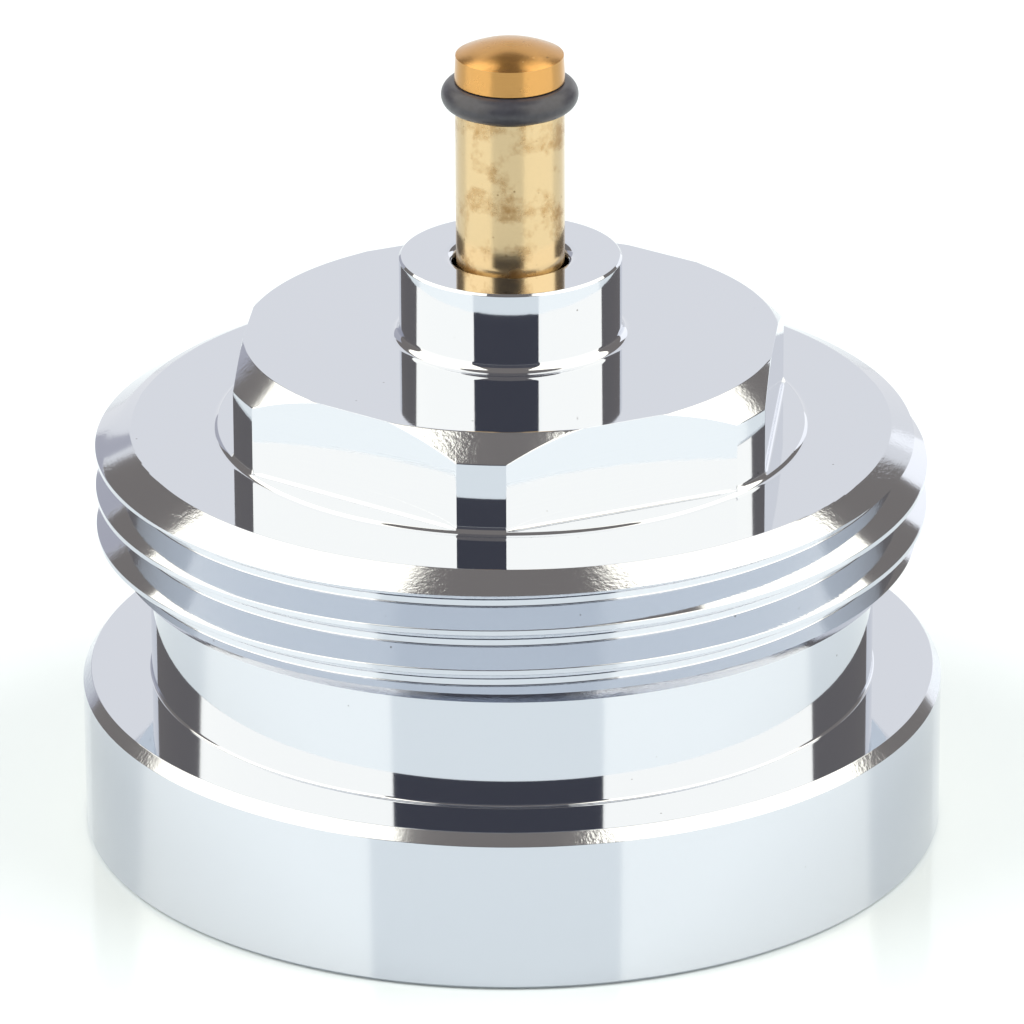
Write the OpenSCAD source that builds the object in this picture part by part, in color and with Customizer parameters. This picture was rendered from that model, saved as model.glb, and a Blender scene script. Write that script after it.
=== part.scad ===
// Valve adapter for radiator heads, with a sliding push pin
// The turned body screws on a valve below and takes a radiator head above.
// The pin passes the head's stroke down to the valve's spindle.
// Origin: centre of the ring's seat. +Z: along the pin, towards its tip.

/* [Threads] */
// Pitch of both threads
thread_pitch = 1.5; // [1:0.25:2]
// Major diameter of the internal thread that screws on the valve
valve_thread_d = 28; // [22:0.5:36]
// Metal left above the internal thread, up to the ring's top face
ring_web = 1.35; // [0.6:0.05:3]
// How far the lead-in chamfer opens past the major radius
valve_mouth_rise = 0.1; // [0:0.05:0.5]
// Major diameter of the external thread that takes the head
head_thread_d = 30; // [25:0.5:33]

/* [Base ring] */
// Wall left outside the internal thread
ring_wall = 1.6; // [1:0.1:4]
// Height of the ring, from its seat to its top face
ring_h = 5.95; // [4.5:0.05:12]
// Width of the chamfer round the ring's top face
ring_chamfer = 0.3; // [0.05:0.05:0.8]
// Height of that chamfer
ring_chamfer_h = 0.42; // [0.05:0.01:1]
// Chamfer on the ring's lower edge
ring_edge = 0.15; // [0.05:0.05:0.5]

/* [Neck] */
// How deep the neck is turned below the external thread's crests
neck_depth = 1.9; // [1.2:0.1:3]
// Height of the neck, from the ring to the threaded flange
neck_h = 4.4; // [2:0.1:10]
// Wall of the neck, round the cavity
neck_wall = 1.9; // [1:0.1:4]
// Radius in the corner between the neck and the ring
neck_fillet = 0.1; // [0.05:0.05:0.4]

/* [Threaded flange] */
// Height of the flange that carries the external thread
flange_h = 4.9; // [4:0.1:12]
// Width of the chamfer round the flange's top face
lead_w = 1.3; // [0.5:0.1:1.6]
// Height of that chamfer
lead_h = 0.54; // [0.2:0.02:1.2]
// Width of the chamfer at the thread's lower end
end_w = 1; // [0.5:0.1:1.2]
// Height of that chamfer
end_h = 1.18; // [0.4:0.02:1.4]

/* [Hexagon] */
// Width across the flats
hex_af = 19; // [15:0.5:23]
// Height of the hexagon above the flange
hex_h = 3.49; // [2:0.01:8]
// How far the turned corners stand out past the flats
corner_rise = 1; // [0.4:0.05:1.4]
// How far the top face's edge stands out past the flats
face_rise = 0.12; // [0:0.01:0.3]
// Height of the turned pad that the flats stop on
pad_h = 0.1; // [0.05:0.05:0.5]
// Radius in the corner between the pad and the flange
pad_fillet = 0.3; // [0.1:0.05:0.5]
// Turn of the hexagon about the axis, in degrees
hex_turn = 24.2; // [0:0.1:60]
// Metal left between the cavity and the hexagon's top face
web_t = 5.14; // [2:0.01:6]
// Radius in the cavity's upper corner
cavity_fillet = 0.8; // [0.2:0.1:1.5]

/* [Boss] */
// Diameter of the boss that guides the pin
boss_d = 8; // [7:0.1:14]
// Height of the boss above the hexagon
boss_h = 2.96; // [1:0.01:8]
// Radius at the boss's foot
boss_fillet = 0.35; // [0.1:0.05:0.8]
// Chamfer on the boss's top edge
boss_edge = 0.08; // [0.02:0.02:0.4]
// Rounding of the guide bore's mouth
bore_mouth = 0.4; // [0.1:0.05:0.6]

/* [Pin] */
// Diameter of the pin's shank
pin_d = 3.9; // [3:0.05:5]
// Gap round the pin in its guide bore
pin_clearance = 0.08; // [0.02:0.01:0.1]
// Bare shank above the boss, with the pin raised
pin_exposed = 5.6; // [3:0.1:8]
// Depth of the groove that holds the sealing ring
groove_depth = 0.45; // [0.3:0.05:0.7]
// Spare width of the groove beside the sealing ring
groove_play = 0.05; // [0.02:0.01:0.3]
// Height of the cap above the groove
cap_h = 0.95; // [0.4:0.05:3]
// How far the cap's lower lip stands out past the shank
cap_lip = 0.025; // [0:0.005:0.1]
// How far the cap's upper rim is drawn in from the shank
cap_draw = 0.02; // [0:0.01:0.2]
// Rise of the domed tip above the cap's rim
dome_h = 0.52; // [0.2:0.02:1.5]
// Diameter of the head that stops the pin under the hexagon
head_d = 7; // [6:0.1:10]
// Thickness of that head
head_t = 1.5; // [0.8:0.1:3]
// Chamfer on the head's lower edge
head_edge = 0.3; // [0.1:0.05:0.6]
// Gap between the head and the web, with the pin raised
head_gap = 0.1; // [0.05:0.05:0.5]

/* [Sealing ring] */
// Diameter of the sealing ring's section
seal_section = 1; // [0.8:0.05:1.4]
// How far the ring is squeezed on the groove's floor
seal_squeeze = 0.05; // [0.01:0.01:0.15]

/* [Hidden] */
$fn = 96;
// Depth of an internal thread and overlap of a cut past a face
thread_inner_depth = 0.5413 * thread_pitch;
cut = 0.5;

// Radii of the turned body
valve_r = valve_thread_d / 2;
valve_bore_r = valve_r - thread_inner_depth;
valve_mouth_r = valve_r + valve_mouth_rise;
ring_r = valve_r + ring_wall;
head_thread_r = head_thread_d / 2;
neck_r = head_thread_r - neck_depth;
cavity_r = neck_r - neck_wall;
turned_r = hex_af / 2 + corner_rise;
face_r = hex_af / 2 + face_rise;
boss_r = boss_d / 2;
pin_r = pin_d / 2;
bore_r = pin_r + pin_clearance;

// Heights of the body's faces above the seat
valve_thread_l = ring_h - ring_web;
flange_z = ring_h + neck_h;
flange_top = flange_z + flange_h;
pad_top = flange_top + pad_h;
hex_top = flange_top + hex_h;
cavity_top = hex_top - web_t;
boss_top = hex_top + boss_h;

// The pin, upwards from its head
head_top = cavity_top - head_gap;
head_bottom = head_top - head_t;
groove_w = seal_section + groove_play;
groove_r = pin_r - groove_depth;
groove_z = boss_top + pin_exposed;
cap_z = groove_z + groove_w;
rim_z = cap_z + cap_h;
rim_r = pin_r - cap_draw;
lip_r = pin_r + cap_lip;
tip_z = rim_z + dome_h;
dome_r = (rim_r * rim_r + dome_h * dome_h) / (2 * dome_h);

// The sealing ring, seated on the groove's floor
seal_r = groove_r + seal_section / 2 - seal_squeeze;
seal_z = groove_z + groove_w / 2;

// Profile of a stepped disc from z to z + h: radius r, with a chamfer at each end
module disc_profile(r, z, h, low_w, low_h, top_w, top_h) {
    polygon([
        [0, z],
        [r - low_w, z],
        [r, z + low_h],
        [r, z + h - top_h],
        [r - top_w, z + h],
        [0, z + h]
    ]);
}

// Profile of a concave fillet that stands on a face at z, against a wall of radius r
module fillet_profile(r, z, size) {
    translate([r, z])
        difference() {
            translate([-size / 2, -size / 2]) square(size * 1.5);
            translate([size, size]) circle(size);
        }
}

// The ring that screws on the valve
module base_ring() {
    rotate_extrude()
        disc_profile(ring_r, 0, ring_h, ring_edge, ring_edge, ring_chamfer, ring_chamfer_h);
}

// The turned-down neck, with a small radius at its root
module neck() {
    rotate_extrude() {
        translate([0, ring_h - cut]) square([neck_r, neck_h + 2 * cut]);
        fillet_profile(neck_r, ring_h, neck_fillet);
    }
}

// The flange that carries the external thread, drawn at the thread's major diameter
module threaded_flange() {
    rotate_extrude()
        disc_profile(head_thread_r, flange_z, flange_h, end_w, end_h, lead_w, lead_h);
}

// The turned pad and its fillet, which the milled flats stop on
module pad() {
    rotate_extrude() {
        translate([0, flange_top - cut]) square([turned_r, pad_h + cut]);
        intersection() {
            fillet_profile(turned_r, flange_top, pad_fillet);
            translate([0, flange_top - cut]) square([turned_r + pad_fillet, pad_h + cut]);
        }
    }
}

// The hexagon: a turned and chamfered disc, milled to six flats
module hexagon() {
    chamfer = turned_r - face_r;
    intersection() {
        rotate_extrude()
            disc_profile(turned_r, flange_top, hex_h, 0, 0, chamfer, chamfer);
        translate([0, 0, pad_top])
            rotate(hex_turn)
                cylinder(r = hex_af / 2 / cos(30), h = hex_h, $fn = 6);
    }
}

// The boss that guides the pin
module boss() {
    rotate_extrude() {
        disc_profile(boss_r, hex_top - cut, boss_h + cut, 0, 0, boss_edge, boss_edge);
        fillet_profile(boss_r, hex_top, boss_fillet);
    }
}

// What is bored out from below: lead-in, thread bore and cavity
module hollow() {
    lead = valve_mouth_r - valve_bore_r;
    rotate_extrude() {
        polygon([
            [0, -cut],
            [valve_mouth_r + cut, -cut],
            [valve_bore_r, lead],
            [valve_bore_r, valve_thread_l],
            [0, valve_thread_l]
        ]);
        square([cavity_r, cavity_top - cavity_fillet]);
        square([cavity_r - cavity_fillet, cavity_top]);
        translate([cavity_r - cavity_fillet, cavity_top - cavity_fillet])
            circle(cavity_fillet);
    }
}

// The bore that guides the pin, with a rounded mouth
module guide_bore() {
    translate([0, 0, cavity_top - cut])
        cylinder(r = bore_r, h = boss_top - cavity_top + 2 * cut);
    rotate_extrude()
        translate([0, boss_top - bore_mouth])
            difference() {
                square([bore_r + bore_mouth, bore_mouth + cut]);
                translate([bore_r + bore_mouth, 0]) circle(bore_mouth);
            }
}

// Chromed brass body, turned and milled in one piece
module body() {
    color("#c9ccd3")
        difference() {
            union() {
                base_ring();
                neck();
                threaded_flange();
                pad();
                hexagon();
                boss();
            }
            hollow();
            guide_bore();
        }
}

// Brass push pin: head, shank, groove and domed cap in one turned piece
module pin() {
    color("#d8b56a")
        rotate_extrude() {
            polygon([
                [0, head_bottom],
                [head_d / 2 - head_edge, head_bottom],
                [head_d / 2, head_bottom + head_edge],
                [head_d / 2, head_top],
                [pin_r, head_top],
                [pin_r, groove_z],
                [groove_r, groove_z],
                [groove_r, cap_z],
                [lip_r, cap_z],
                [rim_r, rim_z],
                [0, rim_z]
            ]);
            intersection() {
                translate([0, tip_z - dome_r]) circle(dome_r);
                translate([0, rim_z]) square([rim_r, dome_h]);
            }
        }
}

// Rubber ring, squeezed flat where it grips the groove's floor
module o_ring() {
    color("#3b3b40")
        rotate_extrude()
            intersection() {
                translate([seal_r, seal_z]) circle(seal_section / 2);
                translate([groove_r, groove_z]) square([2 * seal_section, groove_w]);
            }
}

body();
pin();
o_ring();
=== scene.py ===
"""Looks of a radiator valve adapter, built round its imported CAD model.

A chromed brass body with a wound thread at each end, a sliding brass pin and a rubber sealing ring.
"""

import math

import bmesh
import bpy
import numpy as np
from bpy.props import FloatProperty, FloatVectorProperty, IntProperty, PointerProperty
from mathutils import Matrix, Vector


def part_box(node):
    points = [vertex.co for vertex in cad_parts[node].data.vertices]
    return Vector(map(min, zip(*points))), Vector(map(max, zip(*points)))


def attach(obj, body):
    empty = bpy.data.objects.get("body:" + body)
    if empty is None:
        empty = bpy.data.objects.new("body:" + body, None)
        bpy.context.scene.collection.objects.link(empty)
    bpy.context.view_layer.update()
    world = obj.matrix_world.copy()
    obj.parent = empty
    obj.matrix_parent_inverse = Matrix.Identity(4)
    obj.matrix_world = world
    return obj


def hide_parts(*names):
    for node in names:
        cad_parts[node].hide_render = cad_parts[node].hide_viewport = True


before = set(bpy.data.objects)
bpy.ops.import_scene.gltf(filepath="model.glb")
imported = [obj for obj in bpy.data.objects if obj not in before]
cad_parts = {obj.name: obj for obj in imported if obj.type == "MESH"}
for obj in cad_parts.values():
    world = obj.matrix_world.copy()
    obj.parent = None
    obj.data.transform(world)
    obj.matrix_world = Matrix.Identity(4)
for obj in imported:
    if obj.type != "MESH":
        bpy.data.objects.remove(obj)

bl_info = {
    "name": "Radiator valve adapter",
    "version": (1, 0, 0),
    "blender": (4, 5, 0),
    "location": "3D View > Sidebar > Adapter",
    "description": "Makes the adapter's body, pin, sealing ring and photo stage",
    "category": "Object",
}

MM = 0.001
TURN = 2 * math.pi
BODY_LOW, BODY_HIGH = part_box("body")
PIN_LOW, PIN_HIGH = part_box("pin")


def linear(code):
    """The linear colour, with alpha, of an sRGB hex value."""
    parts = [int(code[i:i + 2], 16) / 255 for i in (1, 3, 5)]
    return tuple(p / 12.92 if p <= 0.04045 else ((p + 0.055) / 1.055) ** 2.4 for p in parts) + (1.0,)


def add(tree, kind, settings=None, inputs=None):
    """Adds a node, with its settings and its inputs as values or sockets to link."""
    node = tree.nodes.new(kind)
    for name, value in (settings or {}).items():
        setattr(node, name, value)
    for key, value in (inputs or {}).items():
        if isinstance(value, bpy.types.NodeSocket):
            tree.links.new(value, node.inputs[key])
        else:
            node.inputs[key].default_value = value
    return node


# --- sections and turned meshes ---------------------------------------------

def rounded(points, radii, steps):
    """An open polyline whose inner corners are replaced by arcs."""
    result = [points[0]]
    for before, corner, after, radius in zip(points, points[1:], points[2:], radii):
        a, p, b = (np.array(q, float) for q in (before, corner, after))
        u, v = (a - p) / np.linalg.norm(a - p), (b - p) / np.linalg.norm(b - p)
        half = math.acos(max(-1.0, min(1.0, float(u @ v)))) / 2
        reach = radius / math.tan(half)
        middle = p + (u + v) / np.linalg.norm(u + v) * radius / math.sin(half)
        start, end = p + u * reach - middle, p + v * reach - middle
        sweep = math.pi - 2 * half
        for i in range(steps + 1):
            t = i / steps
            arm = (math.sin((1 - t) * sweep) * start + math.sin(t * sweep) * end) / math.sin(sweep)
            result.append(tuple(middle + arm))
    return result + [points[-1]]


# What each point of a blank keeps for the thread tree
POINT_VALUES = ("band", "start_radius", "start_height", "end_radius", "end_height", "cut", "turn")


class Section:
    """Rows of a turned section, each with its radius and height at every angle."""

    def __init__(self, angles):
        self.angles = np.asarray(angles, float)
        self.rows = []

    def add(self, radius, height, finish, band=0, start=(0.0, 0.0), end=(0.0, 0.0), cut=0):
        r = np.broadcast_to(np.asarray(radius, float), self.angles.shape)
        z = np.broadcast_to(np.asarray(height, float), self.angles.shape)
        self.rows.append((r, z, finish, band, start, end, cut))

    def line(self, points, finish):
        for radius, height in points:
            self.add(radius, height, finish)


def turned_mesh(name, section, closed):
    """The mesh of a section: one column of points for each angle, the last on the first.

    Points keep what the thread tree reads: the band they are wound in, their place on the
    turn, and the two ends of the tooth's edge that they lie on.
    """
    angles, rows = section.angles, section.rows
    columns, count = len(angles), len(rows)
    r = np.array([row[0] for row in rows])
    z = np.array([row[1] for row in rows])
    co = np.stack([r * np.cos(angles), r * np.sin(angles), z], -1).reshape(-1, 3)
    spans = count if closed else count - 1
    faces, finish = [], []
    for j in range(spans):
        k = (j + 1) % count
        base, top = j * columns, k * columns
        for i in range(columns - 1):
            faces.append((base + i, base + i + 1, top + i + 1, top + i))
        finish.append(np.broadcast_to(rows[j][2], (columns - 1, 3)))
    mesh = bpy.data.meshes.new(name)
    mesh.from_pydata(co.tolist(), [], faces)
    marks = np.array([(row[3], *row[4], *row[5], row[6]) for row in rows], float)
    columns_of = [np.repeat(marks[:, i], columns) for i in range(marks.shape[1])]
    for key, values in zip(POINT_VALUES, columns_of + [np.tile(angles / TURN, count)]):
        mesh.attributes.new(key, "FLOAT", "POINT").data.foreach_set("value", values)
    mesh.attributes.new("finish", "FLOAT_VECTOR", "FACE").data.foreach_set(
        "vector", np.concatenate(finish).ravel())
    return mesh


# --- the thread tree ----------------------------------------------------------

BAND_INPUTS = (
    "Pitch", "Side", "Low end", "High end", "Low rim", "Low slope", "High rim", "High slope",
)

# What happens to a row's point, as steps of arithmetic: result, operation, values.
# Radii are signed by Side, 1 on a shaft and -1 in a bore, so the smaller one always has
# less metal. "cut" is 0 for a row at the start of its tooth edge, and 1 or 2 for one where
# that edge meets the chamfer at the band's low or high end.
BAND_STEPS = (
    ("climb", "MULTIPLY", "turn", "Pitch"),
    ("r0", "MULTIPLY", "start_radius", "Side"),
    ("r1", "MULTIPLY", "end_radius", "Side"),
    ("z0", "ADD", "start_height", "climb"),
    ("z1", "ADD", "end_height", "climb"),
    ("dr", "SUBTRACT", "r1", "r0"),
    ("dz", "SUBTRACT", "z1", "z0"),
    ("low rise", "SUBTRACT", "z0", "Low end"),
    ("low limit", "MULTIPLY_ADD", "low rise", "Low slope", "Low rim"),
    ("low over", "SUBTRACT", "r0", "low limit"),
    ("low gain", "MULTIPLY", "dz", "Low slope"),
    ("low closing", "SUBTRACT", "low gain", "dr"),
    ("low share", "DIVIDE", "low over", "low closing"),
    ("high rise", "SUBTRACT", "z0", "High end"),
    ("high limit", "MULTIPLY_ADD", "high rise", "High slope", "High rim"),
    ("high over", "SUBTRACT", "r0", "high limit"),
    ("high gain", "MULTIPLY", "dz", "High slope"),
    ("high closing", "SUBTRACT", "high gain", "dr"),
    ("high share", "DIVIDE", "high over", "high closing"),
    ("is low", "COMPARE", "cut", 1.0, 0.1),
    ("is high", "COMPARE", "cut", 2.0, 0.1),
    ("from low", "MULTIPLY", "is low", "low share"),
    ("any share", "MULTIPLY_ADD", "is high", "high share", "from low"),
    ("above start", "MAXIMUM", "any share", 0.0),
    ("share", "MINIMUM", "above start", 1.0),
    ("free height", "MULTIPLY_ADD", "dz", "share", "z0"),
    ("over low", "MAXIMUM", "free height", "Low end"),
    ("height", "MINIMUM", "over low", "High end"),
    ("free radius", "MULTIPLY_ADD", "dr", "share", "r0"),
    ("low room", "SUBTRACT", "height", "Low end"),
    ("low cone", "MULTIPLY_ADD", "low room", "Low slope", "Low rim"),
    ("high room", "SUBTRACT", "height", "High end"),
    ("high cone", "MULTIPLY_ADD", "high room", "High slope", "High rim"),
    ("under low", "MINIMUM", "free radius", "low cone"),
    ("under both", "MINIMUM", "under low", "high cone"),
    ("radius", "MULTIPLY", "under both", "Side"),
    ("angle", "MULTIPLY", "turn", TURN),
    ("cosine", "COSINE", "angle"),
    ("sine", "SINE", "angle"),
    ("x", "MULTIPLY", "cosine", "radius"),
    ("y", "MULTIPLY", "sine", "radius"),
    ("in band", "COMPARE", "band", "Band", 0.1),
)


def band_tree():
    """A group that winds one band of a section's rows on a helix, trimmed at its two ends."""
    tree = bpy.data.node_groups.new("Wound band", "GeometryNodeTree")
    face = tree.interface
    face.new_socket("Geometry", in_out="INPUT", socket_type="NodeSocketGeometry")
    face.new_socket("Geometry", in_out="OUTPUT", socket_type="NodeSocketGeometry")
    for name in BAND_INPUTS + ("Band",):
        face.new_socket(name, in_out="INPUT", socket_type="NodeSocketFloat")
    given = add(tree, "NodeGroupInput").outputs
    known = {name: given[name] for name in BAND_INPUTS + ("Band",)}
    for name in POINT_VALUES:
        known[name] = add(tree, "GeometryNodeInputNamedAttribute", {"data_type": "FLOAT"},
                          {"Name": name}).outputs[0]
    for result, operation, *values in BAND_STEPS:
        known[result] = add(tree, "ShaderNodeMath", {"operation": operation},
                            {i: known.get(v, v) for i, v in enumerate(values)}).outputs[0]
    place = add(tree, "ShaderNodeCombineXYZ", None,
                {"X": known["x"], "Y": known["y"], "Z": known["height"]})
    moved = add(tree, "GeometryNodeSetPosition", None, {
        "Geometry": given["Geometry"], "Selection": known["in band"], "Position": place.outputs[0]})
    add(tree, "NodeGroupOutput", None, {"Geometry": moved.outputs[0]})
    return tree


def thread_tree():
    """The tree on the body's blank: both bands are wound, and rows that meet are merged."""
    tree = bpy.data.node_groups.new("Wound threads", "GeometryNodeTree")
    face = tree.interface
    face.new_socket("Geometry", in_out="INPUT", socket_type="NodeSocketGeometry")
    face.new_socket("Geometry", in_out="OUTPUT", socket_type="NodeSocketGeometry")
    band = band_tree()
    given = add(tree, "NodeGroupInput")
    geometry = given.outputs["Geometry"]
    for number, place in enumerate(("Outer", "Inner"), 1):
        names = [f"{place} {name.lower()}" for name in BAND_INPUTS]
        for name in names:
            face.new_socket(name, in_out="INPUT", socket_type="NodeSocketFloat")
        inputs = {name: given.outputs[own] for name, own in zip(BAND_INPUTS, names)}
        wound = add(tree, "GeometryNodeGroup", {"node_tree": band},
                    {"Geometry": geometry, "Band": float(number), **inputs})
        geometry = wound.outputs[0]
    face.new_socket("Weld distance", in_out="INPUT", socket_type="NodeSocketFloat")
    face.new_socket("Material", in_out="INPUT", socket_type="NodeSocketMaterial")
    welded = add(tree, "GeometryNodeMergeByDistance", None,
                 {"Geometry": geometry, "Distance": given.outputs["Weld distance"]})
    real = add(tree, "GeometryNodeRealizeInstances", None, {"Geometry": welded.outputs[0]})
    done = add(tree, "GeometryNodeSetMaterial", None,
               {"Geometry": real.outputs[0], "Material": given.outputs["Material"]})
    add(tree, "NodeGroupOutput", None, {"Geometry": done.outputs[0]})
    return tree


def evaluated(name, blank, tree, values):
    """A plain mesh object made by a Geometry Nodes tree from a blank mesh."""
    source = bpy.data.objects.new(name + "_blank", blank)
    bpy.context.scene.collection.objects.link(source)
    modifier = source.modifiers.new(tree.name, "NODES")
    modifier.node_group = tree
    sockets = {s.name: s.identifier for s in tree.interface.items_tree if s.in_out == "INPUT"}
    for key, value in values.items():
        modifier[sockets[key]] = value
    graph = bpy.context.evaluated_depsgraph_get()
    mesh = bpy.data.meshes.new_from_object(source.evaluated_get(graph))
    source.modifiers.remove(modifier)
    bpy.data.objects.remove(source)
    mesh.name = name
    made = bpy.data.objects.new(name, mesh)
    bpy.context.scene.collection.objects.link(made)
    return made


def shade(mesh, flats=(), turned_from=1e-6, sharp=38.0):
    """Gives a turned mesh smooth normals that follow the axis and stay flat on flat faces.

    Each face's normal is carried round the axis to its corners. Corners of one point are
    then averaged where they turn less than the sharp angle. Area counts cubed, so a broken
    edge takes its normals from the broad faces beside it. flats lists the directions whose
    faces are milled flat.
    """
    corners = len(mesh.loops)
    vertex = np.empty(corners, np.int32)
    mesh.loops.foreach_get("vertex_index", vertex)
    count = len(mesh.polygons)
    start, total = np.empty(count, np.int32), np.empty(count, np.int32)
    mesh.polygons.foreach_get("loop_start", start)
    mesh.polygons.foreach_get("loop_total", total)
    normal, centre, area = np.empty(count * 3), np.empty(count * 3), np.empty(count)
    mesh.polygons.foreach_get("normal", normal)
    mesh.polygons.foreach_get("center", centre)
    mesh.polygons.foreach_get("area", area)
    co = np.empty(len(mesh.vertices) * 3)
    mesh.vertices.foreach_get("co", co)
    normal, centre, co = normal.reshape(-1, 3), centre.reshape(-1, 3), co.reshape(-1, 3)
    owner = np.repeat(np.arange(count), total)
    if not np.array_equal(start, np.concatenate([[0], np.cumsum(total)[:-1]])):
        raise RuntimeError("the faces' corners aren't in order")
    face_angle = np.arctan2(centre[:, 1], centre[:, 0])
    point_angle = np.arctan2(co[:, 1], co[:, 0])
    by = point_angle[vertex] - face_angle[owner]
    still = np.hypot(co[vertex, 0], co[vertex, 1]) < turned_from
    for flat in flats:
        still |= (normal[owner] @ np.asarray(flat)) > 0.99999
    by[still] = 0.0
    n = normal[owner]
    cos, sin = np.cos(by), np.sin(by)
    carried = np.stack([cos * n[:, 0] - sin * n[:, 1], sin * n[:, 0] + cos * n[:, 1], n[:, 2]], -1)
    order = np.argsort(vertex, kind="stable")
    sizes = np.bincount(vertex, minlength=len(co))
    first = np.concatenate([[0], np.cumsum(sizes)[:-1]])
    mine, place = vertex[order], np.arange(corners) - first[vertex[order]]
    smooth = np.zeros((corners, 3))
    limit = math.cos(math.radians(sharp))
    for shift in range(sizes.max()):
        inside = shift < sizes[mine]
        other = order[first[mine] + (place + shift) % np.maximum(sizes[mine], 1)]
        near = np.einsum("ij,ij->i", carried[order], carried[other]) > limit
        weight = (area[owner[other]] / MM ** 2) ** 3 * (near & inside)
        smooth[order] += carried[other] * weight[:, None]
    smooth /= np.maximum(np.linalg.norm(smooth, axis=1), 1e-30)[:, None]
    empty = np.linalg.norm(smooth, axis=1) < 0.5
    smooth[empty] = carried[empty]
    mesh.shade_smooth()
    mesh.normals_split_custom_set(smooth.tolist())


# --- how the surfaces were made: coarse, milled, turned -------------------------

WALL = (0.0, 0.0, 0.3)
FACE = (0.0, 0.0, 0.6)
CHAMFER = (1.0, 0.0, 1.0)
MILLED = (0.0, 1.0, 0.0)
THREAD = (0.3, 0.0, 1.0)
BORE = (0.6, 0.0, 1.0)


def tooth(root, crest, root_flat, crest_flat, pitch, root_round, crest_round):
    """One pitch of a thread's section, from the middle of one groove to the next."""
    flank = (pitch - root_flat - crest_flat) / 2
    rise = root_flat / 2 + flank
    return rounded([
        (root, 0.0), (root, root_flat / 2), (crest, rise), (crest, rise + crest_flat),
        (root, pitch - root_flat / 2), (root, pitch),
    ], (root_round, crest_round, crest_round, root_round), 3)


def band_rows(angles, number, edge, pitch, base, low, high, low_zone, high_zone, finish):
    """Rows for a band: each end of a tooth's edge, and where the edge meets a chamfer."""
    part = Section(angles)
    first, last = math.floor((low - base) / pitch) - 1, math.ceil((high - base) / pitch)
    for k in range(first, last):
        lift = base + k * pitch
        for (r0, z0), (r1, z1) in zip(edge, edge[1:]):
            start, end = (r0, z0 + lift), (r1, z1 + lift)
            cuts = [0] + [1] * (start[1] < low_zone) + [2] * (end[1] + pitch > high_zone)
            for cut in cuts:
                part.add(r0, start[1], finish, number, start, end, cut)
    return part.rows


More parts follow.
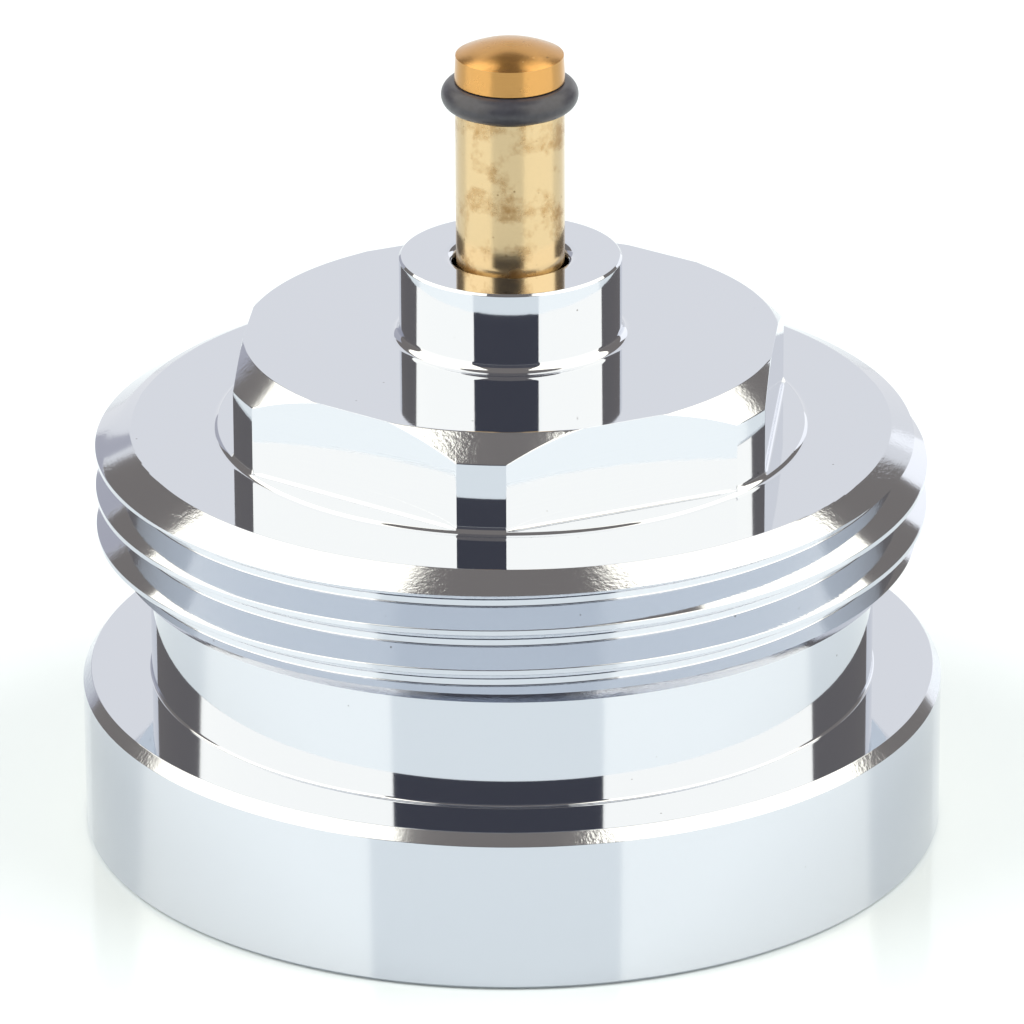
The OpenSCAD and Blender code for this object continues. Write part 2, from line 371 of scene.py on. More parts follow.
class ADAPTER_OT_body(bpy.types.Operator):
    """Make the chromed brass body with its two threads"""

    bl_idname = "adapter.body"
    bl_label = "Body"

    def execute(self, context):
        s = context.scene.adapter_body
        top = BODY_HIGH.z
        ring_r, ring_h = BODY_HIGH.x, s.ring_height
        neck_r, flange_z = s.neck_radius, s.flange_low
        flange_top, hex_top, crest = s.flange_top, s.hexagon_top, s.crest_radius
        flat, turned, face_r = s.flats / 2, s.turned_radius, s.face_radius
        soft, lead = s.broken_edge, (s.lead_width, s.lead_height)
        end = (s.end_width, s.end_height)

        # columns all round, with two more at each upright edge of the hexagon
        half = math.acos(flat / turned)
        middles = [math.radians(s.hexagon_turn + 30 + 60 * i) for i in range(6)]
        edges = [(m + side * half) % TURN for m in middles for side in (-1, 1)]
        gap = soft / turned
        extra = [e + g for e in edges for g in (-gap / 2, gap / 2)]
        plain = [a for a in np.linspace(0, TURN, s.columns + 1)
                 if min(abs(a - e) for e in edges) > 1.5 * gap or a in (0, TURN)]
        angles = np.array(sorted(plain + extra))
        section = Section(angles)

        # the ring, the neck and the flange's underside
        outside = [
            (ring_r - 0.4 * MM, 0), (ring_r - s.ring_edge, 0), (ring_r, s.ring_edge),
            (ring_r, ring_h - s.ring_chamfer_height), (ring_r - s.ring_chamfer, ring_h),
            (neck_r, ring_h), (neck_r, flange_z), (crest - end[0], flange_z),
        ]
        radii = [soft, soft, soft, soft, s.neck_fillet, 2 * soft]
        path = rounded(outside, radii, 6)
        for radius, height in path:
            chamfer = ring_h - s.ring_chamfer_height - soft < height < ring_h - soft / 2 and radius > neck_r + MM
            level = abs(height - ring_h) < soft / 2
            section.add(radius, height, CHAMFER if chamfer else FACE if level else WALL)

        # the outer thread, between its two chamfers
        pitch = s.pitch
        edge = tooth(s.root_radius, crest, s.root_flat, pitch / 8, pitch, s.root_round, s.crest_round)
        section.rows += band_rows(angles, 1, edge, pitch, s.thread_base, flange_z, flange_top,
                                  flange_z + end[1], flange_top - lead[1], THREAD)
        section.rows[-1] = section.rows[-1][:2] + (CHAMFER,) + section.rows[-1][3:]

        # the flange's face, the pad and its fillet
        across = (angles - middles[0] + math.pi / 6) % (math.pi / 3) - math.pi / 6
        reach = np.minimum(flat / np.cos(across), turned)
        on_flat = np.abs(across) < half
        pad, fillet = s.pad_height, s.pad_fillet
        section.add(crest - lead[0], flange_top, FACE)
        section.add(crest - lead[0] - soft, flange_top, FACE)
        for i in range(7):
            bend = math.radians(15 * i)
            height = fillet * (1 - math.cos(bend))
            radius = turned + fillet * (1 - math.sin(bend))
            edge_radius = turned + fillet - math.sqrt(fillet ** 2 - (fillet - pad) ** 2)
            cut = on_flat & (height > pad)
            section.add(np.where(cut, edge_radius, radius), flange_top + np.where(cut, pad, height), WALL)
        foot = np.where(on_flat, flange_top + pad, flange_top + fillet)

        # the hexagon: flats, turned corners and the corners' chamfer
        for i in range(4):
            bend = math.radians(30 * i)
            room = np.clip((turned - reach) * 0.8, 0, s.flat_fillet)
            section.add(reach + room * (1 - math.sin(bend)), foot + room * (1 - math.cos(bend)),
                        WALL if i < 3 else (0, 0, 0))
        columns = 0.5 * (on_flat[1:].astype(float) + on_flat[:-1])
        side = np.where((columns > 0.9)[:, None], MILLED, WALL)
        section.rows[-1] = section.rows[-1][:2] + (side,) + section.rows[-1][3:]
        over = np.maximum(reach - face_r, 0)
        trim = np.minimum(soft, over / 2 + soft / 8)
        rim = np.minimum(reach, face_r)
        section.add(reach, hex_top - over - trim, WALL)
        section.add(reach - trim * 0.7 * (over > 0), hex_top - over + trim * 0.7 * (over > 0) - soft / 8 * (over == 0), CHAMFER)
        section.add(rim + trim * 0.7 * (over > 0), hex_top - trim * 0.7 * (over > 0) - soft / 8 * (over == 0), WALL)
        section.add(rim - trim, hex_top, FACE)

        # the boss, the guide bore and the cavity
        boss, mouth, bore = s.boss_radius, s.bore_mouth, s.bore_radius
        inside = [
            (boss + MM, hex_top), (boss, hex_top), (boss, top - s.boss_edge), (boss - s.boss_edge, top),
            (bore, top), (bore, s.cavity_top), (s.cavity_radius, s.cavity_top),
            (s.cavity_radius, s.valve_thread_top), (s.relief_radius, s.valve_thread_top),
            (s.relief_radius, s.relief_low),
        ]
        radii = [s.boss_fillet, soft, soft, mouth, soft, s.cavity_fillet, soft, soft]
        for radius, height in rounded(inside, radii, 6):
            under = height < top - mouth - MM and radius < s.relief_radius + soft and height < hex_top - MM
            level = height > top - soft / 2 or abs(height - hex_top) < soft / 2
            section.add(radius, height, BORE if under else FACE if level else WALL)

        # the inner thread, from its relief down to its mouth
        bore_r = s.valve_bore_radius
        edge = tooth(s.valve_radius, bore_r, pitch / 8, pitch / 4, pitch, s.root_round, s.crest_round)
        section.rows += band_rows(angles, 2, edge, pitch, s.inner_base, 0.0, s.relief_low,
                                  s.mouth_radius - bore_r, s.relief_low - 0.3 * MM, BORE)[::-1]
        section.add(s.mouth_radius, 0.0, WALL)

        blank = turned_mesh("adapter_body", section, closed=True)
        body = evaluated("adapter_body", blank, thread_tree(), {
            "Outer pitch": pitch, "Outer side": 1.0,
            "Outer low end": flange_z, "Outer high end": flange_top,
            "Outer low rim": crest - end[0], "Outer low slope": end[0] / end[1],
            "Outer high rim": crest - lead[0], "Outer high slope": -lead[0] / lead[1],
            "Inner pitch": pitch, "Inner side": -1.0,
            "Inner low end": 0.0, "Inner high end": s.relief_low,
            "Inner low rim": -s.mouth_radius, "Inner low slope": 1.0,
            "Inner high rim": -s.relief_radius,
            "Inner high slope": -(s.relief_radius - bore_r) / (0.3 * MM),
            "Weld distance": 0.0002 * MM,
            "Material": chromed_brass(s),
        })
        shade(body.data, [(math.cos(m), math.sin(m), 0) for m in middles])
        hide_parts("body")
        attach(body, "housing")
        return {"FINISHED"}


def welded(name, mesh, material):
    """An object from a turned mesh, with its seam and poles closed."""
    made = bpy.data.objects.new(name, mesh)
    bpy.context.scene.collection.objects.link(made)
    work = bmesh.new()
    work.from_mesh(mesh)
    bmesh.ops.remove_doubles(work, verts=work.verts, dist=0.0002 * MM)
    bmesh.ops.dissolve_degenerate(work, edges=work.edges, dist=0.0001 * MM)
    work.to_mesh(mesh)
    work.free()
    mesh.materials.append(material)
    return made


class ADAPTER_OT_pin(bpy.types.Operator):
    """Make the turned brass pin with its head, groove and domed cap"""

    bl_idname = "adapter.pin"
    bl_label = "Pin"

    def execute(self, context):
        s = context.scene.adapter_pin
        r, low, high, soft = s.radius, PIN_LOW.z, PIN_HIGH.z, s.broken_edge
        section = Section(np.linspace(0, TURN, s.columns + 1))
        section.add(0, low, FACE)
        shank = [
            (0.4 * s.head_radius, low), (s.head_radius - s.head_edge, low),
            (s.head_radius, low + s.head_edge), (s.head_radius, low + s.head_thickness),
            (r, low + s.head_thickness), (r, s.groove_low), (s.groove_radius, s.groove_low),
            (s.groove_radius, s.groove_high), (r + s.cap_lip, s.groove_high), (r - s.cap_draw, s.rim_height),
        ]
        section.line(rounded(shank, [soft] * 8, 3), WALL)
        rim, rise = r - s.cap_draw, high - s.rim_height
        for i in range(1, 25):
            share = 1 - i / 24
            section.add(rim * share, high - rise * share ** s.dome_fullness, FACE)
        pin = welded("push_pin", turned_mesh("push_pin", section, closed=False), turned_brass(s))
        shade(pin.data)
        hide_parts("pin")
        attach(pin, "plunger")
        return {"FINISHED"}


class ADAPTER_OT_seal(bpy.types.Operator):
    """Make the rubber sealing ring, seated in the pin's groove"""

    bl_idname = "adapter.seal"
    bl_label = "Sealing ring"

    def execute(self, context):
        s = context.scene.adapter_seal
        section = Section(np.linspace(0, TURN, s.columns + 1))
        for i in range(s.section_points):
            bend = TURN * i / s.section_points
            radius = s.middle_radius + s.section_radius * math.cos(bend)
            height = s.height + s.section_radius * math.sin(bend)
            section.add(max(radius, s.groove_radius), height, WALL)
        seal = welded("sealing_ring", turned_mesh("sealing_ring", section, closed=True), black_rubber(s))
        shade(seal.data)
        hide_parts("o_ring")
        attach(seal, "plunger")
        return {"FINISHED"}


# --- materials ------------------------------------------------------------------

def new_material(name):
    """An empty node material with its output, ready for a shader."""
    material = bpy.data.materials.new(name)
    material.use_nodes = True
    material.node_tree.nodes.clear()
    return material, material.node_tree


def around(tree, along, across):
    """Coordinates for marks that run round the axis: fine across them, long along them."""
    place = add(tree, "ShaderNodeTexCoord").outputs["Object"]
    flat = add(tree, "ShaderNodeVectorMath", {"operation": "MULTIPLY"}, {0: place, 1: (1, 1, 0)})
    radius = add(tree, "ShaderNodeVectorMath", {"operation": "LENGTH"}, {0: flat.outputs[0]})
    unit = add(tree, "ShaderNodeVectorMath", {"operation": "NORMALIZE"}, {0: flat.outputs[0]})
    long = add(tree, "ShaderNodeVectorMath", {"operation": "SCALE"}, {0: unit.outputs[0], "Scale": along})
    height = add(tree, "ShaderNodeSeparateXYZ", None, {0: place}).outputs["Z"]
    climb = add(tree, "ShaderNodeMath", {"operation": "MULTIPLY_ADD"},
                {0: radius.outputs["Value"], 1: -2.0, 2: height})
    fine = add(tree, "ShaderNodeMath", {"operation": "MULTIPLY"}, {0: climb.outputs[0], 1: across / MM})
    up = add(tree, "ShaderNodeCombineXYZ", None, {"Z": fine.outputs[0]})
    both = add(tree, "ShaderNodeVectorMath", {"operation": "ADD"}, {0: long.outputs[0], 1: up.outputs[0]})
    return both.outputs[0]


def chromed_brass(s):
    """Turned and milled brass under bright chrome plate, with its tool marks and pits."""
    material, tree = new_material("chromed_brass")
    place = add(tree, "ShaderNodeTexCoord").outputs["Object"]
    marks = add(tree, "ShaderNodeAttribute", {"attribute_name": "finish"})
    coarse, milled, turned = add(tree, "ShaderNodeSeparateXYZ", None, {0: marks.outputs["Vector"]}).outputs

    # torn, speckled metal on the chamfers, in patches
    grain = add(tree, "ShaderNodeTexNoise", None, {
        "Vector": place, "Scale": 5.5 / MM, "Detail": 3.0, "Roughness": 0.6})
    patch = add(tree, "ShaderNodeTexNoise", None, {"Vector": place, "Scale": 0.35 / MM, "Detail": 1.0})
    patchy = add(tree, "ShaderNodeMapRange", None, {
        "Value": patch.outputs[0], "From Min": 0.42, "From Max": 0.62, "To Min": 0.12, "To Max": 1.0})
    torn = add(tree, "ShaderNodeMath", {"operation": "MULTIPLY"},
               {0: grain.outputs[0], 1: patchy.outputs[0]})
    torn = add(tree, "ShaderNodeMath", {"operation": "MULTIPLY"}, {0: torn.outputs[0], 1: coarse})
    torn = add(tree, "ShaderNodeMath", {"operation": "MULTIPLY"}, {0: torn.outputs[0], 1: s.torn_depth})

    # long fine lines left by the turning tool
    line = add(tree, "ShaderNodeTexNoise", None, {
        "Vector": around(tree, 2.5, 11.0), "Scale": 1.0, "Detail": 2.0, "Roughness": 0.6})
    line = add(tree, "ShaderNodeMath", {"operation": "MULTIPLY"}, {0: line.outputs[0], 1: turned})
    line = add(tree, "ShaderNodeMath", {"operation": "MULTIPLY"}, {0: line.outputs[0], 1: s.turned_depth})

    # slanting lines left by the milling cutter on the flats
    slant = add(tree, "ShaderNodeVectorMath", {"operation": "DOT_PRODUCT"}, {0: place, 1: (-0.055, 0, 1)})
    slant = add(tree, "ShaderNodeMath", {"operation": "MULTIPLY"},
                {0: slant.outputs["Value"], 1: 9.0 / MM})
    slant = add(tree, "ShaderNodeCombineXYZ", None, {"Z": slant.outputs[0]})
    drift = add(tree, "ShaderNodeVectorMath", {"operation": "MULTIPLY"},
                {0: place, 1: (0.12 / MM, 0.12 / MM, 0)})
    slant = add(tree, "ShaderNodeVectorMath", {"operation": "ADD"},
                {0: slant.outputs[0], 1: drift.outputs[0]})
    cut = add(tree, "ShaderNodeTexNoise", None, {
        "Vector": slant.outputs[0], "Scale": 1.0, "Detail": 2.5, "Roughness": 0.6})
    cut = add(tree, "ShaderNodeMath", {"operation": "MULTIPLY"}, {0: cut.outputs[0], 1: milled})

    height = add(tree, "ShaderNodeMath", {"operation": "MULTIPLY_ADD"},
                 {0: cut.outputs[0], 1: s.milled_depth, 2: line.outputs[0]})
    height = add(tree, "ShaderNodeMath", {"operation": "ADD"}, {0: height.outputs[0], 1: torn.outputs[0]})
    bump = add(tree, "ShaderNodeBump", None, {"Height": height.outputs[0], "Distance": 1.0})

    # sparse dark pits in the plate
    pit = add(tree, "ShaderNodeTexVoronoi", None, {"Vector": place, "Scale": 0.75 / MM})
    near = add(tree, "ShaderNodeMapRange", None, {
        "Value": pit.outputs["Distance"], "From Min": 0.018, "From Max": 0.04, "To Min": 0.75, "To Max": 0.0})
    chosen = add(tree, "ShaderNodeSeparateColor", None, {0: pit.outputs["Color"]})
    some = add(tree, "ShaderNodeMath", {"operation": "GREATER_THAN"}, {0: chosen.outputs[0], 1: 0.55})
    dark = add(tree, "ShaderNodeMath", {"operation": "MULTIPLY"}, {0: near.outputs[0], 1: some.outputs[0]})
    colour = add(tree, "ShaderNodeMix", {"data_type": "RGBA"}, {
        "Factor": dark.outputs[0], "A": linear("#cfd3dc"), "B": linear("#5a5550")})
    rough = add(tree, "ShaderNodeMath", {"operation": "MULTIPLY_ADD"}, {0: coarse, 1: 0.08, 2: 0.045})
    shader = add(tree, "ShaderNodeBsdfPrincipled", None, {
        "Base Color": colour.outputs["Result"], "Metallic": 1.0,
        "Roughness": rough.outputs[0], "Normal": bump.outputs[0]})
    add(tree, "ShaderNodeOutputMaterial", None, {"Surface": shader.outputs[0]})
    return material


def turned_brass(s):
    """Bare brass, turned on a lathe: a pale handled shank and a warmer cap."""
    material, tree = new_material("turned_brass")
    place = add(tree, "ShaderNodeTexCoord").outputs["Object"]
    height = add(tree, "ShaderNodeSeparateXYZ", None, {0: place}).outputs["Z"]
    cap = add(tree, "ShaderNodeMath", {"operation": "GREATER_THAN"},
              {0: height, 1: (s.groove_low + s.groove_high) / 2})

    # cloudy tan patches and small pits on the shank
    cloud = add(tree, "ShaderNodeTexNoise", None, {
        "Vector": place, "Scale": 0.9 / MM, "Detail": 4.0, "Roughness": 0.65})
    cloudy = add(tree, "ShaderNodeMapRange", None, {
        "Value": cloud.outputs[0], "From Min": 0.5, "From Max": 0.72})
    shank = add(tree, "ShaderNodeMix", {"data_type": "RGBA"}, {
        "Factor": cloudy.outputs[0], "A": linear("#d2ba92"), "B": linear("#ad8a5c")})
    colour = add(tree, "ShaderNodeMix", {"data_type": "RGBA"}, {
        "Factor": cap.outputs[0], "A": shank.outputs["Result"], "B": linear("#c9995c")})
    pit = add(tree, "ShaderNodeTexVoronoi", None, {"Vector": place, "Scale": 1.6 / MM})
    near = add(tree, "ShaderNodeMapRange", None, {
        "Value": pit.outputs["Distance"], "From Min": 0.04, "From Max": 0.09, "To Min": 0.7, "To Max": 0.0})
    colour = add(tree, "ShaderNodeMix", {"data_type": "RGBA"}, {
        "Factor": near.outputs[0], "A": colour.outputs["Result"], "B": linear("#7c6038")})

    # the lathe's fine rings
    line = add(tree, "ShaderNodeTexNoise", None, {
        "Vector": around(tree, 0.8, 9.0), "Scale": 1.0, "Detail": 2.0, "Roughness": 0.6})
    ring = add(tree, "ShaderNodeMath", {"operation": "MULTIPLY"}, {0: line.outputs[0], 1: s.ring_depth})
    bump = add(tree, "ShaderNodeBump", None, {"Height": ring.outputs[0], "Distance": 1.0})
    rough = add(tree, "ShaderNodeMath", {"operation": "MULTIPLY_ADD"},
                {0: cloudy.outputs[0], 1: 0.16, 2: 0.2})
    shader = add(tree, "ShaderNodeBsdfPrincipled", None, {
        "Base Color": colour.outputs["Result"], "Metallic": 1.0,
        "Roughness": rough.outputs[0], "Normal": bump.outputs[0]})
    add(tree, "ShaderNodeOutputMaterial", None, {"Surface": shader.outputs[0]})
    return material


def black_rubber(s):
    """Moulded nitrile rubber, slightly worn."""
    material, tree = new_material("moulded_rubber")
    place = add(tree, "ShaderNodeTexCoord").outputs["Object"]
    grain = add(tree, "ShaderNodeTexNoise", None, {"Vector": place, "Scale": 4.0 / MM, "Detail": 3.0})
    colour = add(tree, "ShaderNodeMix", {"data_type": "RGBA"}, {
        "Factor": grain.outputs[0], "A": linear("#303036"), "B": linear("#45454c")})
    height = add(tree, "ShaderNodeMath", {"operation": "MULTIPLY"},
                 {0: grain.outputs[0], 1: s.grain_depth})
    bump = add(tree, "ShaderNodeBump", None, {"Height": height.outputs[0], "Distance": 1.0})
    shader = add(tree, "ShaderNodeBsdfPrincipled", None, {
        "Base Color": colour.outputs["Result"], "Roughness": 0.33, "Normal": bump.outputs[0]})
    add(tree, "ShaderNodeOutputMaterial", None, {"Surface": shader.outputs[0]})
    return material


# --- the stage ------------------------------------------------------------------

def glow(name, colour, strength):
    """A plain light-coloured or dark surface that shows only in reflections."""
    material, tree = new_material(name)
    shader = add(tree, "ShaderNodeEmission", None, {"Color": colour, "Strength": strength})
    add(tree, "ShaderNodeOutputMaterial", None, {"Surface": shader.outputs[0]})
    material.cycles.emission_sampling = "NONE"
    return material


def card(name, distance, stations, material, target):
    """A curved card round the object, seen only in its reflections.

    stations are (elevation, first azimuth, last azimuth) in degrees, from the camera's side
    and clockwise seen from above.
    """
    steps = 48
    points, faces = [], []
    for elevation, first, last in stations:
        for i in range(steps + 1):
            azimuth = math.radians(first + (last - first) * i / steps)
            lift = math.radians(elevation)
            points.append(target + distance * Vector((
                math.sin(azimuth) * math.cos(lift), -math.cos(azimuth) * math.cos(lift), math.sin(lift))))
    for row in range(len(stations) - 1):
        for i in range(steps):
            a = row * (steps + 1) + i
            faces.append((a, a + 1, a + steps + 2, a + steps + 1))
    mesh = bpy.data.meshes.new(name)
    mesh.from_pydata([tuple(p) for p in points], [], faces)
    mesh.materials.append(material)
    made = bpy.data.objects.new(name, mesh)
    bpy.context.scene.collection.objects.link(made)
    made.visible_camera = made.visible_diffuse = made.visible_shadow = False
    made.visible_transmission = made.visible_volume_scatter = False
    return made


class ADAPTER_OT_stage(bpy.types.Operator):
    """Set up the floor, the soft light, the reflection cards and the camera"""

    bl_idname = "adapter.stage"
    bl_label = "Photo stage"

    def execute(self, context):
        s = context.scene.adapter_stage
        scene = context.scene
        aim = Vector((0, 0, s.aim_height))

        # a white, slightly glossy floor
        mesh = bpy.data.meshes.new("floor")
        w = 2.0
        mesh.from_pydata([(-w, -w, 0), (w, -w, 0), (w, w, 0), (-w, w, 0)], [], [(0, 1, 2, 3)])
        floor = bpy.data.objects.new("floor", mesh)
        scene.collection.objects.link(floor)
        material, tree = new_material("floor_white_acrylic")
        shader = add(tree, "ShaderNodeBsdfPrincipled", None, {
            "Base Color": linear("#edf3f1"), "Roughness": 0.12})
        clear = add(tree, "ShaderNodeBsdfTransparent")
        side = add(tree, "ShaderNodeNewGeometry")
        both = add(tree, "ShaderNodeMixShader", None, {
            0: side.outputs["Backfacing"], 1: shader.outputs[0], 2: clear.outputs[0]})
        add(tree, "ShaderNodeOutputMaterial", None, {"Surface": both.outputs[0]})
        mesh.materials.append(material)

        # the background: white to the camera and in reflections, plain soft light otherwise
        world = bpy.data.worlds.new("soft_studio")
        scene.world = world
        world.use_nodes = True
        tree = world.node_tree
        tree.nodes.clear()
        path = add(tree, "ShaderNodeLightPath")
        seen = add(tree, "ShaderNodeMath", {"operation": "MAXIMUM"},
                   {0: path.outputs["Is Camera Ray"], 1: path.outputs["Is Glossy Ray"]})
        seen = add(tree, "ShaderNodeMath", {"operation": "MAXIMUM"},
                   {0: seen.outputs[0], 1: path.outputs["Is Transmission Ray"]})
        white = add(tree, "ShaderNodeBackground", None, {"Color": (1, 1, 1, 1), "Strength": 1.0})
        soft = add(tree, "ShaderNodeBackground", None, {
            "Color": (1, 1, 1, 1), "Strength": s.sky_strength})
        both = add(tree, "ShaderNodeMixShader", None, {
            0: seen.outputs[0], 1: soft.outputs[0], 2: white.outputs[0]})
        add(tree, "ShaderNodeOutputWorld", None, {"Surface": both.outputs[0]})

        # what the chrome mirrors: a dim room open at the back, with a softbox on each side
        far = s.card_distance
        room = glow("room_dim", linear("#8a847f"), 1.0)
        card("dim_room", far, [
            (-1, -140, 140), (19, -140, 140), (21, -157, 156), (35, -157, 155), (48, -153, 152),
            (50, -180, 180), (70, -180, 180), (90, -180, 180)], room, aim)
        front = glow("room_dark", linear("#5a5a60"), 1.0)
        card("dark_front", far * 0.98, [(-1, -60, 60), (20, -60, 60), (34, -60, 60)], front, aim)
        grey = glow("backdrop_grey", linear("#c4c4cc"), 1.0)
        card("grey_behind_left", far, [(-1, -160, -140), (20, -160, -140)], grey, aim)
        pale = glow("backdrop_pale", (1, 1, 1, 1), 1.35)
        card("pale_behind_right", far, [(-1, 140, 160), (20, 140, 160)], pale, aim)
        box = glow("softbox", linear("#fff9e7"), s.softbox_strength)
        card("softbox_left", far * 0.95, [
            (-1, -99, -39), (14, -104, -39), (20, -110, -39), (26, -125, -37), (34, -140, -35),
            (42, -151, -34), (60, -160, -33), (66, -164, -42)], box, aim)
        card("softbox_right", far * 0.95, [
            (-1, 29, 96), (14, 29, 100), (20, 29, 106), (27, 28, 116), (34, 27, 128),
            (42, 25, 150), (60, 25, 158), (66, 30, 164)], box, aim)

        # two broad lamps that light the floor and the rubber, out of sight of the chrome
        for side, energy in ((-1, s.lamp_power), (1, s.lamp_power)):
            lamp = bpy.data.lights.new("soft_lamp", "AREA")
            lamp.shape, lamp.size, lamp.energy = "SQUARE", 0.5, energy
            made = bpy.data.objects.new("soft_lamp", lamp)
            place = aim + Vector((side * 0.45, -0.12, 0.5))
            made.matrix_world = Matrix.Translation(place) @ (aim - place).to_track_quat("-Z", "Y").to_matrix().to_4x4()
            made.visible_glossy = False
            scene.collection.objects.link(made)

        # the camera at the photograph's angle
        lens = bpy.data.cameras.new("photo")
        lens.sensor_width, lens.lens = 36.0, s.focal_length
        lens.clip_start, lens.clip_end = 0.01, 10.0
        lens.dof.use_dof = False
        lens.shift_x, lens.shift_y = s.shift_x, s.shift_y
        camera = bpy.data.objects.new("photo_camera", lens)
        e = s.elevation
        camera.location = aim + s.distance * Vector((0, -math.cos(e), math.sin(e)))
        camera.rotation_mode = "XYZ"
        turn = Matrix.Rotation(math.pi / 2 - e, 4, "X") @ Matrix.Rotation(s.roll, 4, "Z")
        camera.rotation_euler = turn.to_euler()
        scene.collection.objects.link(camera)
        scene.camera = camera
        scene.view_settings.view_transform = "Standard"
        return {"FINISHED"}


# --- settings, panel and registration --------------------------------------------

def size(name, description, millimetres):
    """A length that a user may change."""
    return FloatProperty(name=name, description=description, default=millimetres * MM,
                         subtype="DISTANCE", unit="LENGTH", precision=5)


class BodySettings(bpy.types.PropertyGroup):
    columns: IntProperty(name="Columns", description="Faces round the axis", default=360, min=48)
    ring_height: size("Ring height", "From the seat to the ring's top face", 5.95)
    ring_edge: size("Ring edge", "Chamfer on the ring's lower edge", 0.15)
    ring_chamfer: size("Ring chamfer", "Width of the chamfer round the ring's top face", 0.3)
    ring_chamfer_height: size("Ring chamfer height", "Height of that chamfer", 0.42)
    neck_radius: size("Neck radius", "Radius of the turned-down neck", 13.1)
    neck_fillet: size("Neck fillet", "Radius in the corner between the neck and the ring", 0.1)
    flange_low: size("Flange underside", "Height of the threaded flange's lower face", 10.35)
    flange_top: size("Flange top", "Height of the threaded flange's upper face", 15.25)
    crest_radius: size("Thread radius", "Outer radius of the outer thread", 15.0)
    root_radius: size("Root radius", "Radius of the outer thread's groove", 14.08)
    root_flat: size("Root flat", "Width of the outer thread's groove at its floor", 0.25)
    root_round: size("Root rounding", "Radius in the corners of a thread's groove", 0.06)
    crest_round: size("Crest rounding", "Radius on the edges of a thread's crest", 0.04)
    pitch: size("Pitch", "Rise of both threads in one turn", 1.5)
    thread_base: size("Thread start", "Height of a groove's middle on the +X side", 13.042 - 1.5)
    lead_width: size("Lead-in width", "Width of the chamfer round the flange's top", 1.3)
    lead_height: size("Lead-in height", "Height of that chamfer", 0.54)
    end_width: size("End chamfer width", "Width of the chamfer at the thread's lower end", 1.0)
    end_height: size("End chamfer height", "Height of that chamfer", 1.18)
    pad_height: size("Pad height", "Height of the pad that the flats stop on", 0.1)
    pad_fillet: size("Pad fillet", "Radius between the pad and the flange", 0.3)
    flats: size("Across flats", "Width of the hexagon across its flats", 19.0)
    flat_fillet: size("Flat fillet", "Radius that the cutter leaves at a flat's foot", 0.12)
    turned_radius: size("Turned radius", "Radius that the hexagon's corners are turned to", 10.5)
    face_radius: size("Face radius", "Radius of the hexagon's top face", 9.62)
    hexagon_top: size("Hexagon top", "Height of the hexagon's top face", 18.74)
    hexagon_turn: FloatProperty(name="Hexagon turn", description="Turn of a corner from +X, in degrees",
                                default=24.2)
    boss_radius: size("Boss radius", "Radius of the boss that guides the pin", 4.0)
    boss_fillet: size("Boss fillet", "Radius at the boss's foot", 0.35)
    boss_edge: size("Boss edge", "Chamfer on the boss's top edge", 0.08)
    bore_radius: size("Bore radius", "Radius of the guide bore", 2.03)
    bore_mouth: size("Bore mouth", "Rounding of the guide bore's mouth", 0.4)
    cavity_radius: size("Cavity radius", "Radius of the cavity under the hexagon", 11.2)
    cavity_top: size("Cavity top", "Height of the cavity's ceiling", 13.6)
    cavity_fillet: size("Cavity fillet", "Radius in the cavity's upper corner", 0.8)
    valve_thread_top: size("Valve thread top", "Height where the threaded bore ends", 4.6)
    valve_radius: size("Valve thread radius", "Outer radius of the inner thread's groove", 14.0)
    valve_bore_radius: size("Valve bore radius", "Radius of the inner thread's crests", 13.188)
    relief_radius: size("Relief radius", "Radius of the relief behind the inner thread", 14.06)
    relief_low: size("Relief start", "Height where the relief starts", 4.05)
    mouth_radius: size("Mouth radius", "Radius of the lead-in at the seat", 14.1)
    inner_base: size("Inner thread start", "Height of an inner groove's middle on the +X side", 0.4)
    broken_edge: size("Broken edge", "Width of the rounding on a plain edge", 0.035)
    torn_depth: size("Torn depth", "Depth of the speckle on the chamfers", 0.012)
    turned_depth: size("Turned depth", "Depth of the turning lines", 0.00035)
    milled_depth: size("Milled depth", "Depth of the milling lines on the flats", 0.0012)


class PinSettings(bpy.types.PropertyGroup):
    columns: IntProperty(name="Columns", description="Faces round the axis", default=144, min=24)
    radius: size("Pin radius", "Radius of the shank", 1.95)
    head_radius: size("Head radius", "Radius of the head inside the body", 3.5)
    head_thickness: size("Head thickness", "Thickness of that head", 1.5)
    head_edge: size("Head edge", "Chamfer on the head's lower edge", 0.3)
    groove_radius: size("Groove radius", "Radius of the floor of the sealing ring's groove", 1.5)
    groove_low: size("Groove start", "Height of the groove's lower wall", 27.3)
    groove_high: size("Groove end", "Height of the groove's upper wall", 28.35)
    cap_lip: size("Cap lip", "How far the cap's lower lip stands out", 0.025)
    cap_draw: size("Cap draw", "How far the cap's upper rim is drawn in", 0.02)
    rim_height: size("Rim height", "Height of the rim under the dome", 29.3)
    dome_fullness: FloatProperty(name="Dome fullness", description="2 is a round dome, 1 a cone", default=1.8)
    broken_edge: size("Broken edge", "Width of the rounding on an edge", 0.03)
    ring_depth: size("Ring depth", "Depth of the lathe's rings", 0.0012)


class SealSettings(bpy.types.PropertyGroup):
    columns: IntProperty(name="Columns", description="Faces round the axis", default=144, min=24)
    section_points: IntProperty(name="Section points", description="Points round the section", default=40, min=8)
    section_radius: size("Section radius", "Radius of the ring's section", 0.5)
    middle_radius: size("Middle radius", "Radius of the section's middle", 1.95)
    groove_radius: size("Groove radius", "Radius of the groove's floor, which flattens the ring", 1.5)
    height: size("Height", "Height of the section's middle", 27.825)
    grain_depth: size("Grain depth", "Depth of the rubber's grain", 0.006)


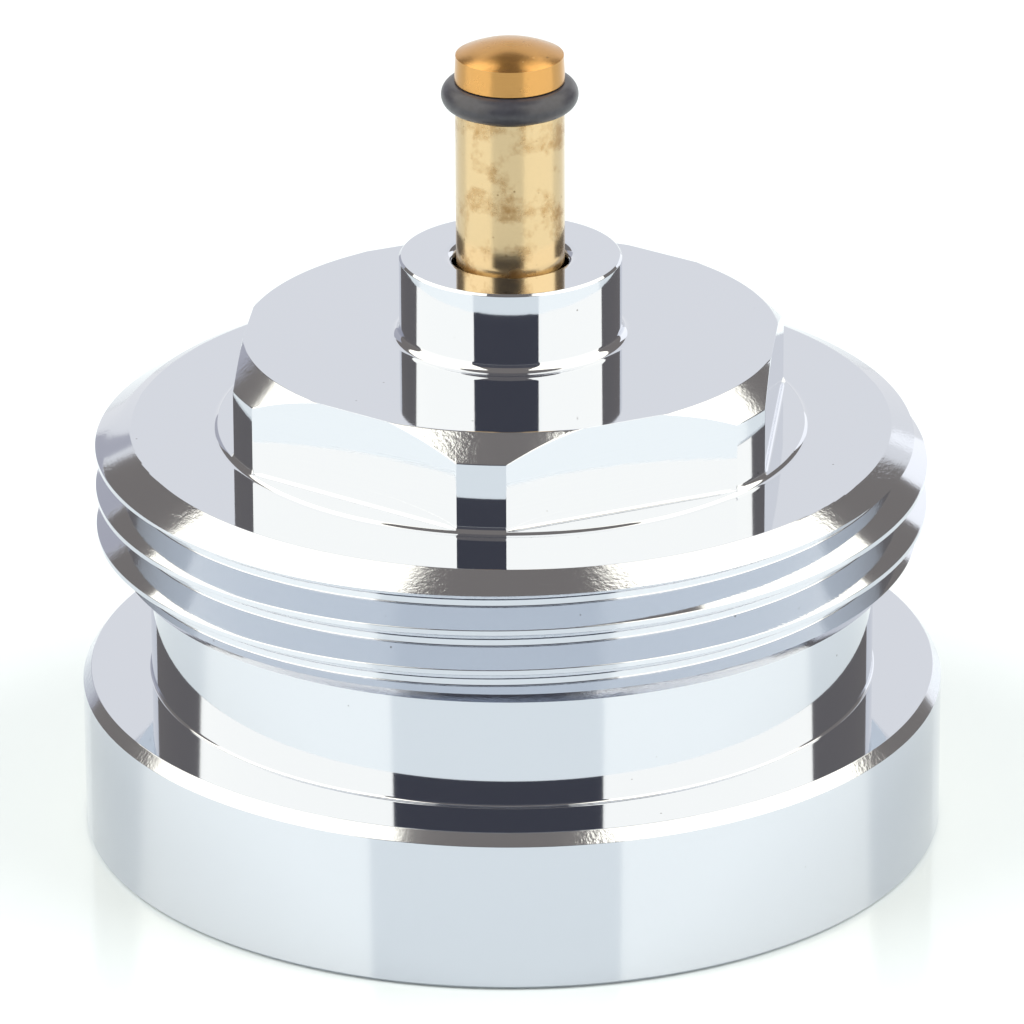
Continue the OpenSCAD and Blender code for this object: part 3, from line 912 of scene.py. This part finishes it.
class StageSettings(bpy.types.PropertyGroup):
    aim_height: size("Aim height", "Height of the point that the camera faces", 11.696)
    distance: size("Camera distance", "From the camera to that point", 346.77)
    elevation: FloatProperty(name="Elevation", description="The camera's angle above the horizon",
                             default=math.radians(22.645), subtype="ANGLE")
    roll: FloatProperty(name="Roll", description="The camera's turn about its own axis",
                        default=math.radians(-0.2384), subtype="ANGLE")
    focal_length: FloatProperty(name="Focal length", description="In millimetres, on a 36 mm sensor",
                                default=337.05)
    shift_x: FloatProperty(name="Shift X", description="Sideways shift of the lens", default=0.0005)
    shift_y: FloatProperty(name="Shift Y", description="Upward shift of the lens", default=0.0005)
    card_distance: size("Card distance", "From the object to the reflection cards", 800.0)
    softbox_strength: FloatProperty(name="Softbox strength", description="Brightness of the softboxes in the chrome",
                                    default=2.24)
    sky_strength: FloatProperty(name="Sky strength", description="Plain light from all round", default=0.75)
    lamp_power: FloatProperty(name="Lamp power", description="Power of each broad lamp", default=2.5,
                              unit="POWER")


GROUPS = (("adapter_body", BodySettings), ("adapter_pin", PinSettings),
          ("adapter_seal", SealSettings), ("adapter_stage", StageSettings))
OPERATORS = (ADAPTER_OT_stage, ADAPTER_OT_body, ADAPTER_OT_pin, ADAPTER_OT_seal)


class ADAPTER_PT_panel(bpy.types.Panel):
    """The adapter's pieces and stage, with their sizes"""

    bl_idname = "ADAPTER_PT_panel"
    bl_label = "Valve adapter"
    bl_space_type = "VIEW_3D"
    bl_region_type = "UI"
    bl_category = "Adapter"

    def draw(self, context):
        for operator in OPERATORS:
            self.layout.operator(operator.bl_idname)
        for name, group in GROUPS:
            box = self.layout.box()
            box.label(text=group.__name__)
            for key in group.__annotations__:
                box.prop(getattr(context.scene, name), key)


def register():
    for _, group in GROUPS:
        bpy.utils.register_class(group)
    for kind in OPERATORS + (ADAPTER_PT_panel,):
        bpy.utils.register_class(kind)
    for name, group in GROUPS:
        setattr(bpy.types.Scene, name, PointerProperty(type=group))


def unregister():
    for name, _ in GROUPS:
        delattr(bpy.types.Scene, name)
    for kind in (ADAPTER_PT_panel,) + OPERATORS[::-1]:
        bpy.utils.unregister_class(kind)
    for _, group in GROUPS[::-1]:
        bpy.utils.unregister_class(group)


def main():
    """Makes everything."""
    register()
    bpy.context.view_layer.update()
    bpy.ops.adapter.stage()
    bpy.ops.adapter.body()
    bpy.ops.adapter.pin()
    bpy.ops.adapter.seal()


if __name__ == "__main__":
    main()
